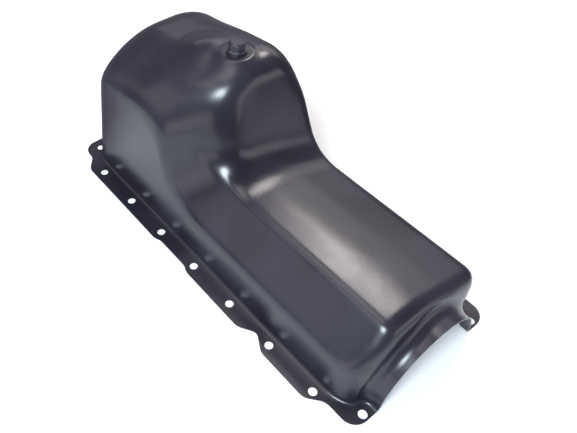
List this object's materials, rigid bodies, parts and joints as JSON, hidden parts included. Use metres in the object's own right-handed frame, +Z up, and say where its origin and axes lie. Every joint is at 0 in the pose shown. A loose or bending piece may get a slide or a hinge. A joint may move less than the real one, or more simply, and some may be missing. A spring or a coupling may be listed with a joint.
{
  "type": "engine oil pan",
  "caption": "Deep drawn steel engine oil pan with a flat bolted rail, a shallow front, a deep rear sump, half-round end saddles and a drain plug in the sump's bottom.",
  "frame": {"origin": "middle of the rail's length and width, on the gasket face that the pan lies on", "axes": "+X towards the engine's front, the shallow end; +Z up, out of the sump's bottom, because the pan lies upside down; +Y to the side without the bevel"},
  "size_m": [0.5414, 0.2488, 0.2231],
  "materials": {
    "pan_paint": "semi-gloss black paint",
    "plug_steel": "dark oiled steel",
    "washer_metal": "dull plated metal",
    "nut_paint": "semi-gloss black paint"
  },
  "bodies": {
    "root": {"pan_pressing": "pan_paint", "drain_plug": "plug_steel", "drain_plug_washer": "washer_metal", "drain_nut": "nut_paint"}
  },
  "joints": []
}
